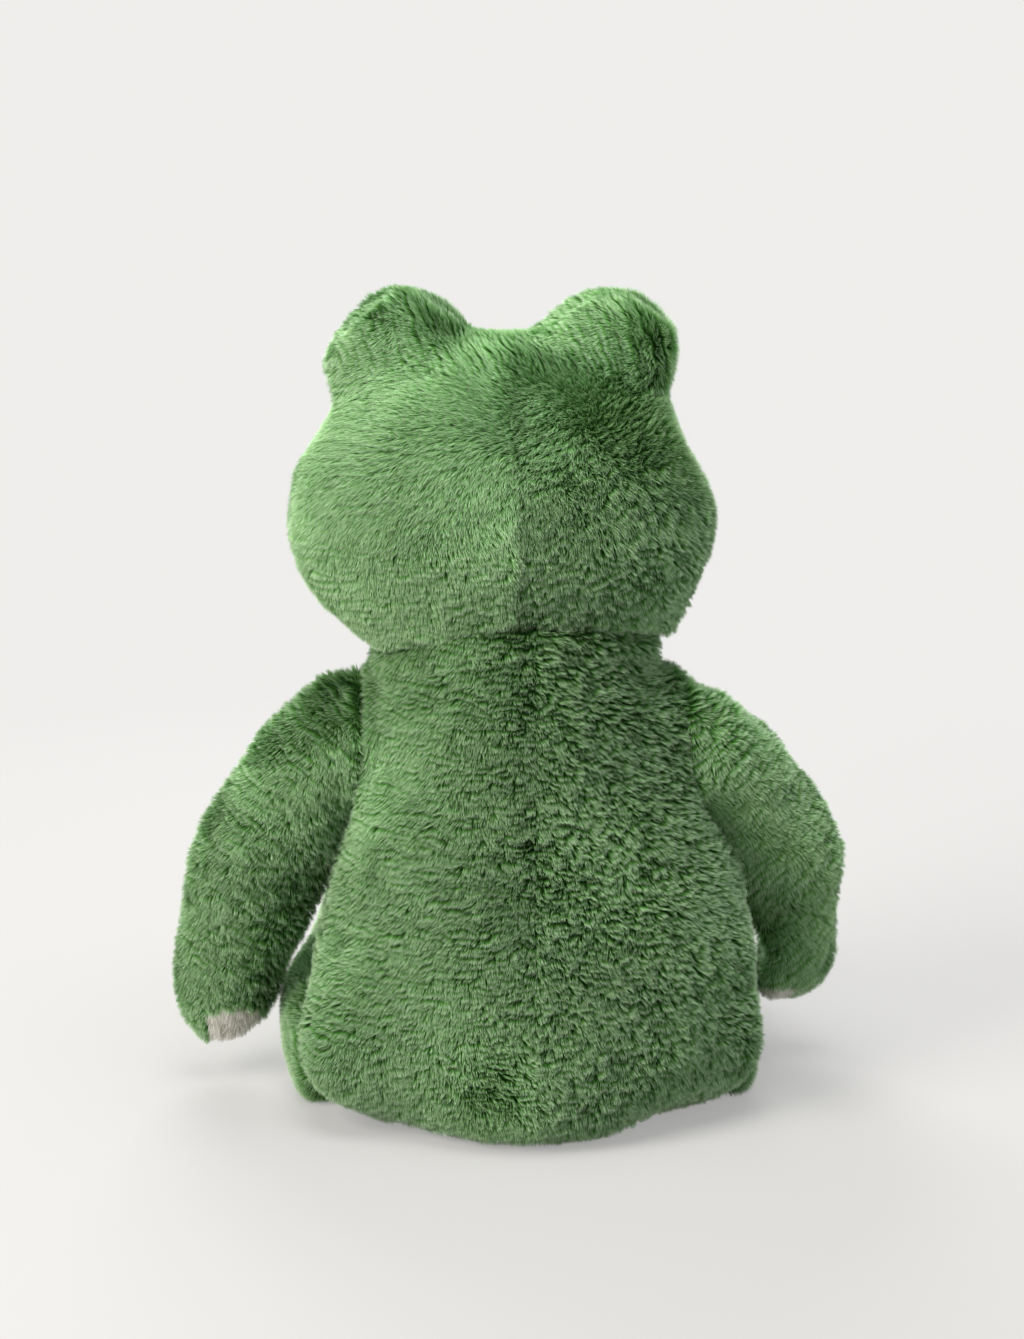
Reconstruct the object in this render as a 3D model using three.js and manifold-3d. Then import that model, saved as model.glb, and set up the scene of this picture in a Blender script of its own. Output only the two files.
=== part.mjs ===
// A seated plush frog about 44 cm tall, built the way it is sewn and filled: plush panels round
// stuffed forms, limbs that swing at their seams, and a head that turns and nods on the neck.
// Millimetres, +Z up. The frog faces -Y and its left side is on +X. The origin is the middle of
// the flat seat. Clearances between neighbours come from the named gaps.
import * as THREE from "three";
import { mergeVertices } from "three/addons/utils/BufferGeometryUtils.js";
import Module from "manifold-3d";

const wasm = await Module();
wasm.setup();

// Fabric and clearances
const plushThickness = 6; // knitted backing with its pile, as thick as it lies
const gap = 0.3; // between pieces that touch
const swingGap = 0.9; // between faces that move past each other
const cutLength = 900; // how far every cutting block runs past the part

// Body: the sizes that its shares below multiply
const torsoHeight = 252;
const torsoHalfWidth = 118;
const torsoBackDepth = 97;
const torsoBellyDepth = 101;
const seatDipDepth = 0.5; // how deep the filled body is pressed flat where it sits
const neckOffset = 10; // the frog leans to its left: the neck is this far off the seat's middle

// Body stations from the neck down: height, half width, back, belly and sway
const torsoShares = [
  [1, 0, 0, 0, 1.1],
  [0.972, 0.42, 0.5, 0.47, 1.05],
  [0.937, 0.645, 0.77, 0.72, 0.95],
  [0.853, 0.72, 0.83, 0.78, 0.7],
  [0.754, 0.765, 0.86, 0.83, 0.47],
  [0.635, 0.83, 0.92, 0.9, 0.2],
  [0.496, 0.915, 0.97, 0.96, 0],
  [0.349, 0.985, 1, 1, 0],
  [0.198, 1, 0.98, 0.96, 0],
  [0.079, 0.95, 0.92, 0.87, 0],
  [0.014, 0.81, 0.78, 0.71, 0],
  [0, 0.52, 0.5, 0.46, 0],
  [0, 0, 0, 0, 0],
];
const bellyHalfWidth = 66; // the belly panel between its two side seams
const seatPanelHalfWidth = 70;
const seatPanelHalfDepth = 56;
const pouchRadius = 62;
const pouchHeight = 34;

// The bead pouch from its base up: radius and height
const pouchShares = [
  [0.86, 0],
  [1, 0.3],
  [0.93, 0.62],
  [0.6, 0.93],
  [0, 1],
];

// Neck: a ball of filling inside a collar that the head sits over
const neckHeight = 240;
const neckRadius = 74;
const collarHeight = 38;

// Head
const headOffset = 17.5;
const headHeight = 307; // where the cheeks are widest
const headHalfWidth = 112;
const headUpperHeight = 102;
const headLowerHeight = 75;
const headBackDepth = 90;
const headFaceDepth = 97;
const headSeamOffset = 8; // the centre back seam, off the head's own middle
const faceSeamOffset = -10;
const mouthDropHeight = 13; // below the cheeks' widest line

// Head stations from the crown down: height, half width, back and face
const headShares = [
  [1, 0, 0, 0],
  [0.95, 0.42, 0.42, 0.4],
  [0.8, 0.66, 0.68, 0.62],
  [0.57, 0.84, 0.86, 0.8],
  [0.3, 0.955, 0.97, 0.93],
  [0.02, 1, 1, 0.99],
  [-0.25, 0.955, 0.94, 1],
  [-0.5, 0.86, 0.83, 0.94],
  [-0.75, 0.71, 0.67, 0.79],
  [-0.93, 0.42, 0.4, 0.45],
  [-1, 0, 0, 0],
];

// Eye bumps on the crown
const bumpHalfSpacing = 53;
const bumpRiseHeight = 89; // above the cheeks' widest line
const bumpSetOffset = -4; // forward of the head's middle
const bumpHalfWidth = 39;
const bumpHalfHeight = 42;
const bumpHalfDepth = 38;
const bumpSquareness = 0.86;

// Bump stations from its front to its back: place and girth
const bumpShares = [
  [-1, 0],
  [-0.93, 0.42],
  [-0.72, 0.74],
  [-0.38, 0.95],
  [0, 1],
  [0.4, 0.94],
  [0.74, 0.71],
  [0.94, 0.39],
  [1, 0],
];

// Eyes, mouth and nostrils
const eyeRadius = 13;
const eyeDomeHeight = 9.5;
const eyeTurn = 15; // degrees outward
const eyeLiftHeight = 9; // above the bump's own middle
const eyeSinkDepth = 2.2; // how deep the eye draws the plush in
const shankRadius = 2.5;
const shankLength = 18;
const washerRadius = 11;
const washerThickness = 2.5;
const plushGatheredThickness = 10; // between the eye and its washer
const mouthHalfWidth = 46;
const mouthLiftHeight = 9;
const threadRadius = 1.9;
const nostrilHalfSpacing = 15;
const nostrilRiseHeight = 27; // above the cheeks' widest line
const nostrilHalfWidth = 4.5;

// Arms
const shoulderHeight = 200;
const shoulderHalfSpacing = 83;
const shoulderOffset = 5;
const shoulderRadius = 37; // of the round seam where the arm meets the body
const armholeDishWidth = 27; // how much further out the armhole's dished edge runs
const armLength = 178;
const armBowWidth = 62;
const armHalfWidth = 40;
const armHalfThickness = 37;
const armSplay = 3.5; // degrees, outward on the left and inward on the right
const armPitch = { left: 12, right: 26 }; // degrees forward of hanging
const pawPadDepth = 27; // back from the arm's end to the middle of the pad's seam
const pawPadLookShares = [-0.35, 0.6, -0.72]; // the way the pad looks: out, back and up

// Arm stations from the shoulder to the paw: out, down and girth
const armShares = [
  [-0.32, -0.03, 0],
  [-0.13, -0.025, 0.8],
  [0.19, 0.01, 1],
  [0.56, 0.11, 0.96],
  [0.81, 0.29, 0.89],
  [0.95, 0.505, 0.85],
  [1, 0.7, 0.77],
  [0.98, 0.85, 0.65],
  [0.94, 0.955, 0.41],
  [0.9, 1, 0],
];

// Legs
const hipHeight = 44;
const hipSetOffset = -60; // forward of the seat's middle
const hipHalfSpacing = 86;
const hipOffset = 4;
const legLength = 157; // from the hip axis to the toe
const legHalfWidth = 38;
const legHalfHeight = 38;
const solePadDepth = 17; // back from the toe to the pad's seam
const bellyInsetDepth = 23; // how much of the thigh's inner side is trimmed for the belly

// Leg stations from the thigh's rear to the toe: out, forward, half width, rise and drop
const legShares = [
  [0.58, -0.27, 0, 0, 0],
  [0.53, -0.24, 0.34, 0.4, 0.46],
  [0.37, -0.15, 0.68, 0.82, 0.84],
  [0.16, 0, 0.89, 1, 1],
  [0.02, 0.22, 0.98, 1, 1],
  [-0.05, 0.48, 1, 0.95, 1],
  [-0.03, 0.7, 1, 0.98, 1],
  [0, 0.86, 0.94, 1.05, 0.98],
  [0.02, 0.955, 0.63, 0.79, 0.62],
  [0.02, 1, 0, 0, 0],
];

// Colours and finishes
const green = { color: 0x779967, roughness: 0.95, metalness: 0 };
const cream = { color: 0xd9d3c5, roughness: 0.95, metalness: 0 };
const wadding = { color: 0xeeeeea, roughness: 1, metalness: 0 };
const calico = { color: 0xcfc7b4, roughness: 0.9, metalness: 0 };
const blackGloss = { color: 0x101010, roughness: 0.1, metalness: 0 };
const whitePlastic = { color: 0xe8e8e4, roughness: 0.5, metalness: 0 };
const darkThread = { color: 0x2b2622, roughness: 0.7, metalness: 0 };

const axisX = new THREE.Vector3(1, 0, 0);
const axisY = new THREE.Vector3(0, 1, 0);
const axisZ = new THREE.Vector3(0, 0, 1);
const degree = Math.PI / 180;
const bigSides = 20; // facets round the body and the head
const smallSides = 12; // facets round a limb, a bump or an eye
const turnSides = 24; // facets of every face that turns against another
const frog = new THREE.Group();

// Only the positions of a geometry, with the vertices that coincide made one
function merged(geometry) {
  const bare = new THREE.BufferGeometry();
  bare.setAttribute("position", geometry.getAttribute("position").clone());
  bare.setIndex(geometry.getIndex());
  return mergeVertices(bare);
}

function solid(geometry) {
  const joined = merged(geometry);
  const corners = Array.from(joined.getIndex().array);
  const triVerts = [];
  for (let i = 0; i < corners.length; i += 3) {
    const [a, b, c] = corners.slice(i, i + 3);
    if (a !== b && b !== c && c !== a) triVerts.push(a, b, c);
  }
  const vertProperties = joined.getAttribute("position").array;
  return new wasm.Manifold(
    new wasm.Mesh({ numProp: 3, vertProperties, triVerts: new Uint32Array(triVerts) }),
  );
}

// Names a finished solid as a piece of the frog
function piece(name, shape, finish) {
  const { vertProperties, triVerts } = shape.getMesh();
  const geometry = new THREE.BufferGeometry();
  geometry.setAttribute("position", new THREE.BufferAttribute(vertProperties, 3));
  geometry.setIndex(new THREE.BufferAttribute(triVerts, 1));
  const faceted = geometry.toNonIndexed();
  faceted.computeVertexNormals();
  const mesh = new THREE.Mesh(faceted, new THREE.MeshStandardMaterial(finish));
  mesh.name = name;
  frog.add(mesh);
}

// The same surface drawn in by a depth all over, or let out by a negative one
function drawnIn(geometry, depth) {
  const joined = merged(geometry);
  joined.computeVertexNormals();
  const spots = joined.getAttribute("position");
  const normals = joined.getAttribute("normal");
  const spot = new THREE.Vector3();
  const normal = new THREE.Vector3();
  for (let i = 0; i < spots.count; i += 1) {
    spot.fromBufferAttribute(spots, i);
    normal.fromBufferAttribute(normals, i);
    spot.addScaledVector(normal, -depth);
    spots.setXYZ(i, spot.x, spot.y, spot.z);
  }
  return joined;
}

// Moves a geometry made round +Z so that it stands at a point, along a direction
function placed(geometry, at, along) {
  const turn = new THREE.Quaternion().setFromUnitVectors(axisZ, along.clone().normalize());
  return geometry.applyQuaternion(turn).translate(at.x, at.y, at.z);
}

// All the space on one side of a plane
function beyond(at, along) {
  const block = new THREE.BoxGeometry(cutLength, cutLength, cutLength);
  return solid(placed(block.translate(0, 0, cutLength / 2), at, along));
}

// A round solid about a line: its outline is pairs of radius and distance along the line
function turned(outline, at, along, facets = turnSides) {
  const points = outline.map(([radius, distance]) => new THREE.Vector2(radius, distance));
  const round = new THREE.LatheGeometry(points, facets).rotateX(Math.PI / 2);
  return solid(placed(round, at, along));
}

// A faceted ball whose corners are on the radius
function ball(at, radius) {
  const round = new THREE.SphereGeometry(radius, turnSides, turnSides / 2);
  return solid(round.rotateX(Math.PI / 2).translate(at.x, at.y, at.z));
}

// The socket that such a ball turns in: its flats are on the radius, and they face the corners
function socket(at, radius) {
  const flat = Math.cos(Math.PI / turnSides) ** 2;
  const round = new THREE.SphereGeometry(radius / flat, turnSides, turnSides / 2 + 1);
  round.rotateX(Math.PI / 2).rotateZ(Math.PI / turnSides);
  return solid(round.translate(at.x, at.y, at.z));
}

// The spine and the reaches of a stuffed form, as smooth curves through its stations
function outlineOf(stations) {
  const smooth = (points) => new THREE.CatmullRomCurve3(points, false, "catmullrom");
  return {
    spine: smooth(stations.map(({ at }) => at)),
    reach: smooth(stations.map(({ side, over, under }) => new THREE.Vector3(side, over, under))),
  };
}

// A stuffed form swells and tapers through oval stations along its spine. Facing is the way
// that each oval's over side looks, and along fixes the spine's direction on an upright form.
function stuffedForm(stations, facing, options = {}) {
  const { along = null, round = smallSides, rows = 9, squareness = 1 } = options;
  const { spine, reach } = outlineOf(stations);
  const form = new THREE.SphereGeometry(1, round, rows);
  const spots = form.getAttribute("position");
  const shares = form.getAttribute("uv");
  const squared = (value) => Math.sign(value) * Math.abs(value) ** squareness;
  for (let i = 0; i < spots.count; i += 1) {
    const share = THREE.MathUtils.clamp(1 - shares.getY(i), 0, 1);
    const angle = shares.getX(i) * 2 * Math.PI;
    const tangent = along ?? spine.getTangent(share);
    const sideways = new THREE.Vector3().crossVectors(tangent, facing).normalize();
    const upwards = new THREE.Vector3().crossVectors(sideways, tangent).normalize();
    const size = reach.getPoint(share);
    const rise = Math.sin(angle) > 0 ? size.y : size.z;
    const spot = spine.getPoint(share);
    spot.addScaledVector(sideways, squared(Math.cos(angle)) * Math.max(size.x, 0));
    spot.addScaledVector(upwards, squared(Math.sin(angle)) * Math.max(rise, 0));
    spots.setXYZ(i, spot.x, spot.y, spot.z);
  }
  return form;
}

// Plush sewn round a form: the form without its own inside
function plushRound(form) {
  return solid(form).subtract(solid(drawnIn(form, plushThickness)));
}

function fillingOf(form) {
  return solid(drawnIn(form, plushThickness + gap));
}

// Body
const torsoStations = torsoShares.map(([height, width, back, belly, sway]) => ({
  at: new THREE.Vector3(sway * neckOffset, 0, height * (torsoHeight + seatDipDepth) - seatDipDepth),
  side: width * torsoHalfWidth,
  over: back * torsoBackDepth,
  under: belly * torsoBellyDepth,
}));
const torsoOutline = outlineOf(torsoStations);
const upright = { along: axisZ.clone().negate(), round: bigSides };
const torsoForm = stuffedForm(torsoStations, axisY, { ...upright, rows: torsoShares.length - 1 });
const neckPivot = new THREE.Vector3(neckOffset, 0, neckHeight);
const seatMiddle = new THREE.Vector3(0, 0, 0);
const collarTop = new THREE.Vector3(0, 0, neckHeight + collarHeight);

// How far out the body's side stands at a height, on the left (1) or the right (-1)
function torsoEdge(height, sign) {
  const steps = 240;
  let last = torsoOutline.spine.getPoint(0);
  let edge = 0;
  for (let step = 1; step <= steps; step += 1) {
    const next = torsoOutline.spine.getPoint(step / steps);
    const side = torsoOutline.reach.getPoint(step / steps).x + sign * next.x;
    if (next.z <= height) {
      const share = last.z === next.z ? 1 : (last.z - height) / (last.z - next.z);
      return THREE.MathUtils.lerp(edge, side, share);
    }
    last = next;
    edge = side;
  }
  return edge;
}

const sides = [
  { name: "left", sign: 1 },
  { name: "right", sign: -1 },
];

function outOf(sign) {
  return axisX.clone().multiplyScalar(sign);
}

function shoulderOf(sign) {
  return new THREE.Vector3(shoulderOffset + sign * shoulderHalfSpacing, 0, shoulderHeight);
}

function hipOf(sign) {
  return new THREE.Vector3(hipOffset + sign * hipHalfSpacing, hipSetOffset, hipHeight);
}

// The armhole's surface: pairs of radius from the shoulder's axis and distance out of the seam
function armhole(sign) {
  const seam = shoulderHalfSpacing + sign * shoulderOffset;
  const dishRadius = shoulderRadius + armholeDishWidth;
  const rings = [[shoulderRadius, 0]];
  const steps = 4;
  for (let step = 0; step <= steps; step += 1) {
    const radius = THREE.MathUtils.lerp(dishRadius, shoulderHeight, step / steps);
    rings.push([radius, torsoEdge(shoulderHeight - radius, sign) - seam]);
  }
  return rings;
}

function shoulderLobe(sign) {
  const lobe = new THREE.SphereGeometry(shoulderRadius, smallSides, smallSides / 2);
  const at = shoulderOf(sign);
  return lobe.rotateX(Math.PI / 2).translate(at.x - (sign * shoulderRadius) / 2, at.y, at.z);
}

// What the limbs take out of the body: two dished armholes and two round hip seats
function limbSeats(clearance) {
  let seats = null;
  for (const { sign } of sides) {
    const out = outOf(sign);
    const [flat, edge] = armhole(sign);
    const dish = [
      [0, -clearance],
      [flat[0], flat[1] - clearance],
      [edge[0], edge[1] - clearance],
      [edge[0], cutLength],
      [0, cutLength],
    ];
    const hipRadius = hipHeight + seatDipDepth + swingGap + clearance;
    const hip = [
      [0, -clearance],
      [hipRadius, -clearance],
      [hipRadius, cutLength],
      [0, cutLength],
    ];
    const pair = turned(dish, shoulderOf(sign), out).add(turned(hip, hipOf(sign), out));
    seats = seats ? seats.add(pair) : pair;
  }
  return seats;
}

function bodyPieces() {
  const above = beyond(seatMiddle, axisZ);
  const below = beyond(collarTop, axisZ.clone().negate());
  const seats = limbSeats(0);
  let outside = solid(torsoForm).add(ball(neckPivot, neckRadius));
  let inside = solid(drawnIn(torsoForm, plushThickness));
  inside = inside.add(socket(neckPivot, neckRadius - plushThickness));
  for (const { sign } of sides) {
    const lobe = shoulderLobe(sign);
    outside = outside.add(solid(lobe));
    inside = inside.add(solid(drawnIn(lobe, plushThickness)));
  }
  const skin = outside.subtract(inside).intersect(above).intersect(below).subtract(seats);

  const seatPanel = (clearance) => {
    const disc = new THREE.CylinderGeometry(1, 1, 2 * plushThickness, bigSides).rotateX(Math.PI / 2);
    return solid(disc.scale(seatPanelHalfWidth + clearance, seatPanelHalfDepth + clearance, 1));
  };
  const bellyBlock = (clearance) => {
    const width = 2 * (bellyHalfWidth + clearance);
    const block = new THREE.BoxGeometry(width, cutLength, cutLength);
    return solid(block.translate(0, clearance - cutLength / 2, 0));
  };
  piece("seat_panel", skin.intersect(seatPanel(0)), green);
  const round = skin.subtract(seatPanel(gap));
  piece("belly_panel", round.intersect(bellyBlock(0)), cream);
  const back = round.subtract(bellyBlock(gap));
  for (const { name, sign } of sides) {
    const out = outOf(sign);
    const seam = out.clone().multiplyScalar(gap / 2);
    piece(`body_back_${name}`, back.intersect(beyond(seam, out)), green);
  }

  const floor = plushThickness - seatDipDepth + gap;
  const pouch = (clearance) => {
    const outline = [[0, -floor]];
    for (const [radius, height] of pouchShares) {
      const rise = height > 0 ? floor + height * pouchHeight + clearance : -floor;
      outline.push([radius > 0 ? radius * pouchRadius + clearance : 0, rise]);
    }
    return turned(outline, seatMiddle, axisZ, bigSides);
  };
  let filling = fillingOf(torsoForm);
  piece("bead_pouch", pouch(0).intersect(filling), calico);
  for (const { sign } of sides) filling = filling.add(fillingOf(shoulderLobe(sign)));
  const room = pouch(gap);
  const cup = socket(neckPivot, neckRadius - plushThickness - gap);
  piece("body_stuffing", filling.subtract(room).subtract(cup).subtract(limbSeats(gap)), wadding);
}

function neckPieces() {
  piece("neck_stuffing", ball(neckPivot, neckRadius - plushThickness - 2 * gap), wadding);
}

// Head
function headLevel(share) {
  return headHeight + share * (share > 0 ? headUpperHeight : headLowerHeight);
}

const headStations = headShares.map(([height, width, back, face]) => ({
  at: new THREE.Vector3(headOffset, 0, headLevel(height)),
  side: width * headHalfWidth,
  over: back * headBackDepth,
  under: face * headFaceDepth,
}));
const headForm = stuffedForm(headStations, axisY, { ...upright, rows: headShares.length - 1 });
const headOutside = solid(drawnIn(headForm, -gap));
const mouthHeight = headHeight - mouthDropHeight;

// The point of the face at a sideways place and a height
function onFace(across, height) {
  const face = new THREE.Mesh(headForm, new THREE.MeshStandardMaterial());
  const start = new THREE.Vector3(headOffset + across, -cutLength / 2, height);
  const [hit] = new THREE.Raycaster(start, axisY).intersectObject(face);
  return hit.point;
}

function headPieces() {
  const cup = socket(neckPivot, neckRadius + gap);
  const skin = plushRound(headForm).subtract(cup);
  const towardsFace = axisY.clone().negate();
  const backEdge = new THREE.Vector3(0, faceSeamOffset + gap / 2, 0);
  const faceEdge = new THREE.Vector3(0, faceSeamOffset - gap / 2, 0);
  const back = skin.intersect(beyond(backEdge, axisY));
  for (const { name, sign } of sides) {
    const out = outOf(sign);
    const seam = new THREE.Vector3(headSeamOffset + (sign * gap) / 2, 0, 0);
    piece(`head_back_${name}`, back.intersect(beyond(seam, out)), green);
  }
  const face = skin.intersect(beyond(faceEdge, towardsFace));
  const upper = new THREE.Vector3(0, 0, mouthHeight + gap / 2);
  const lower = new THREE.Vector3(0, 0, mouthHeight - gap / 2);
  piece("face_upper", face.intersect(beyond(upper, axisZ)), green);
  piece("face_lower", face.intersect(beyond(lower, axisZ.clone().negate())), cream);
  piece("head_stuffing", fillingOf(headForm).subtract(cup), wadding);
}

// An eye bump is a small stuffed dome sewn to the crown, with the eye's shank through its front
function bumpPieces({ name, sign }) {
  const bumpHeight = headHeight + bumpRiseHeight;
  const middle = new THREE.Vector3(headOffset + sign * bumpHalfSpacing, bumpSetOffset, bumpHeight);
  const stations = bumpShares.map(([place, girth]) => ({
    at: middle.clone().setY(bumpSetOffset + place * bumpHalfDepth),
    side: girth * bumpHalfWidth,
    over: girth * bumpHalfHeight,
    under: girth * bumpHalfHeight,
  }));
  const form = stuffedForm(stations, axisZ, { along: axisY, rows: 8, squareness: bumpSquareness });
  const turn = eyeTurn * degree;
  const look = new THREE.Vector3(sign * Math.sin(turn), -Math.cos(turn), 0);
  const eyeMiddle = middle.clone().setZ(bumpHeight + eyeLiftHeight);
  const alongLook = (distance) => eyeMiddle.clone().addScaledVector(look, distance);
  const seat = bumpHalfDepth - eyeSinkDepth;
  const lining = seat - plushGatheredThickness;
  const bore = (radius, from, to) =>
    turned([[0, from], [radius, from], [radius, to], [0, to]], eyeMiddle, look, smallSides);

  const lid = bore(eyeRadius + gap, seat, seat + eyeDomeHeight + plushThickness);
  const shankHole = bore(shankRadius + gap, 0, seat + plushThickness);
  const inward = look.clone().negate();
  const hollow = solid(drawnIn(form, plushThickness)).intersect(beyond(alongLook(lining), inward));
  const bored = solid(form).subtract(hollow).subtract(lid).subtract(shankHole);
  const skin = bored.subtract(headOutside);
  const seam = middle.clone().setY(bumpSetOffset - gap / 2);
  piece(`bump_front_${name}`, skin.intersect(beyond(seam, axisY.clone().negate())), green);
  seam.setY(bumpSetOffset + gap / 2);
  piece(`bump_back_${name}`, skin.intersect(beyond(seam, axisY)), green);

  const base = seat + gap;
  const dome = [[0, base - shankLength], [shankRadius, base - shankLength], [shankRadius, base]];
  const domeSteps = 4;
  for (let step = 0; step <= domeSteps; step += 1) {
    const angle = ((step / domeSteps) * Math.PI) / 2;
    dome.push([eyeRadius * Math.cos(angle), base + eyeDomeHeight * Math.sin(angle)]);
  }
  dome[dome.length - 1][0] = 0;
  piece(`eye_${name}`, turned(dome, eyeMiddle, look, smallSides), blackGloss);

  const washerFront = lining - gap;
  const washerBack = washerFront - washerThickness;
  const washer = bore(washerRadius, washerBack, washerFront);
  piece(`eye_washer_${name}`, washer.subtract(shankHole), whitePlastic);
  const washerRoom = bore(washerRadius + gap, washerBack - gap, seat);
  const shankRoom = bore(shankRadius + gap, base - shankLength - gap, seat);
  const filling = fillingOf(form).intersect(beyond(alongLook(washerFront), inward));
  const stuffing = filling.subtract(headOutside).subtract(washerRoom).subtract(shankRoom);
  piece(`bump_stuffing_${name}`, stuffing, wadding);
}

// The mouth is one stitched line, and each nostril is a short worked stitch
function facePieces() {
  const points = [];
  const steps = 8;
  for (let step = 0; step <= steps; step += 1) {
    const share = (2 * step) / steps - 1;
    const height = mouthHeight + mouthLiftHeight * (share ** 2 - 1 / 2);
    const spot = onFace(share * mouthHalfWidth, height);
    points.push(spot.add(new THREE.Vector3(0, -threadRadius / 3, 0)));
  }
  const section = new THREE.Shape().absarc(0, 0, threadRadius, 0, 2 * Math.PI);
  const line = new THREE.ExtrudeGeometry(section, {
    steps: 2 * steps,
    curveSegments: 3,
    extrudePath: new THREE.CatmullRomCurve3(points),
  });
  piece("mouth_stitch", solid(line).subtract(headOutside), darkThread);
  for (const { name, sign } of sides) {
    const spot = onFace(sign * nostrilHalfSpacing, headHeight + nostrilRiseHeight);
    const stitch = new THREE.SphereGeometry(1, 8, 6);
    stitch.scale(nostrilHalfWidth, threadRadius, threadRadius).translate(spot.x, spot.y, spot.z);
    piece(`nostril_${name}`, solid(stitch).subtract(headOutside), darkThread);
  }
}

// A leg lies forward from its hip seat, and its inner side is trimmed where the belly is
function legForm(sign) {
  const at = hipOf(sign);
  const stations = legShares.map(([out, forward, width, rise, drop]) => ({
    at: at.clone().add(new THREE.Vector3(sign * out * legHalfWidth, -forward * legLength, 0)),
    side: width * legHalfWidth,
    over: rise * legHalfHeight,
    under: drop * (hipHeight + seatDipDepth),
  }));
  return stuffedForm(stations, axisZ);
}

function legPieces({ name, sign }) {
  const form = legForm(sign);
  const out = outOf(sign);
  const hipRadius = hipHeight + plushThickness / 2 + swingGap;
  const bellyRadius = hipHeight + bellyInsetDepth;
  const inside = (clearance) =>
    turned(
      [
        [0, -cutLength],
        [bellyRadius + legLength, -cutLength],
        [bellyRadius, -legHalfWidth - bellyInsetDepth],
        [hipRadius, clearance],
        [0, clearance],
      ],
      hipOf(sign),
      out,
    );
  const above = beyond(seatMiddle, axisZ);
  const forward = axisY.clone().negate();
  const skin = plushRound(form).intersect(above).subtract(inside(gap));
  const soleSeam = new THREE.Vector3(0, hipSetOffset - legLength + solePadDepth, 0);
  piece(`leg_${name}`, skin.subtract(beyond(soleSeam, forward)), green);
  soleSeam.setY(soleSeam.y - gap);
  piece(`foot_sole_${name}`, skin.intersect(beyond(soleSeam, forward)), cream);
  piece(`leg_stuffing_${name}`, fillingOf(form).subtract(inside(gap)), wadding);
}

// An arm hangs from its armhole. Its inner side keeps clear of the body and the leg as it swings.
function armPieces({ name, sign }) {
  const shoulder = shoulderOf(sign);
  const stations = armShares.map(([out, down, girth]) => ({
    at: new THREE.Vector3(sign * out * armBowWidth, 0, -down * armLength),
    side: girth * armHalfWidth,
    over: girth * armHalfThickness,
    under: girth * armHalfThickness,
  }));
  const splay = new THREE.Quaternion().setFromAxisAngle(axisY, -armSplay * degree);
  const pitch = new THREE.Quaternion().setFromAxisAngle(axisX, -armPitch[name] * degree);
  const pose = pitch.multiply(splay);
  const form = stuffedForm(stations, axisY).applyQuaternion(pose);
  form.translate(shoulder.x, shoulder.y, shoulder.z);

  const leg = new THREE.Box3().setFromBufferAttribute(legForm(sign).getAttribute("position"));
  const legEdge = (sign > 0 ? leg.max.x : -leg.min.x) - sign * shoulder.x;
  const legRadius = shoulderHeight - leg.max.z;
  const out = outOf(sign);
  const rings = armhole(sign).map(([radius, edge]) => [
    radius,
    (radius > legRadius - plushThickness ? Math.max(edge, legEdge) : edge) + swingGap,
  ]);
  const farRadius = armLength + armBowWidth;
  const outline = [[0, -cutLength], [farRadius, -cutLength], [farRadius, rings[rings.length - 1][1]]];
  outline.push(...rings.reverse(), [0, swingGap]);
  const body = turned(outline, shoulder, out);
  const skin = plushRound(form).subtract(body);
  const [outward, backward, upward] = pawPadLookShares;
  const padLook = new THREE.Vector3(sign * outward, backward, upward).normalize();
  padLook.applyQuaternion(pose);
  const padSeam = new THREE.Vector3(sign * armBowWidth, 0, pawPadDepth - armLength);
  padSeam.applyQuaternion(pose).add(shoulder);
  piece(`arm_${name}`, skin.subtract(beyond(padSeam, padLook)), green);
  padSeam.addScaledVector(padLook, gap);
  piece(`paw_pad_${name}`, skin.intersect(beyond(padSeam, padLook)), cream);
  piece(`arm_stuffing_${name}`, fillingOf(form).subtract(body), wadding);
}

bodyPieces();
neckPieces();
headPieces();
facePieces();
for (const side of sides) {
  bumpPieces(side);
  armPieces(side);
  legPieces(side);
}

export default frog;
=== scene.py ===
import math
from itertools import product

import bmesh
import bpy
import numpy as np
from mathutils import Matrix, Quaternion, Vector
from mathutils.bvhtree import BVHTree


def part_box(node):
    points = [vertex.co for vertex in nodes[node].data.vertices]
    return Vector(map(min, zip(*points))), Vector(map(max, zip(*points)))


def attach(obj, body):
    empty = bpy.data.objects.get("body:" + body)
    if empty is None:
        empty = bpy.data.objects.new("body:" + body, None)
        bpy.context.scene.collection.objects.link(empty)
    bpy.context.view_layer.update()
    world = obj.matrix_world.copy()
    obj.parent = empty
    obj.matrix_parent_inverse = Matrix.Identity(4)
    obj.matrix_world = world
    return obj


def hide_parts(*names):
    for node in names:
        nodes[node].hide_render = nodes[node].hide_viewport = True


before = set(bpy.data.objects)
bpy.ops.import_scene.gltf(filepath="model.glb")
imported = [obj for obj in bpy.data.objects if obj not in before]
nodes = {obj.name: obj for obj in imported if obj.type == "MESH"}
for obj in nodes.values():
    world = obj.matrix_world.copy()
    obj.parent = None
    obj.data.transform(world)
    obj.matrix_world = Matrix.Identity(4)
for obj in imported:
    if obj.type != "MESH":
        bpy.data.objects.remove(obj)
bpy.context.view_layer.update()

# Camera. It stands behind the frog and a little above it, an arm's length and a half away, with
# a portrait lens, so the frog fills the middle of a tall frame.
aim = Vector((0.0119, 0, 0.2328))
looking_down = math.radians(12)
lens = bpy.data.cameras.new("camera")
lens.lens = 85
lens.sensor_width = 36
camera = bpy.data.objects.new("camera", lens)
camera.location = aim + 1.637 * Vector((0, math.cos(looking_down), math.sin(looking_down)))
camera.rotation_euler = (math.pi / 2 - looking_down, 0, math.pi)
bpy.context.scene.collection.objects.link(camera)
bpy.context.scene.camera = camera
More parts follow.
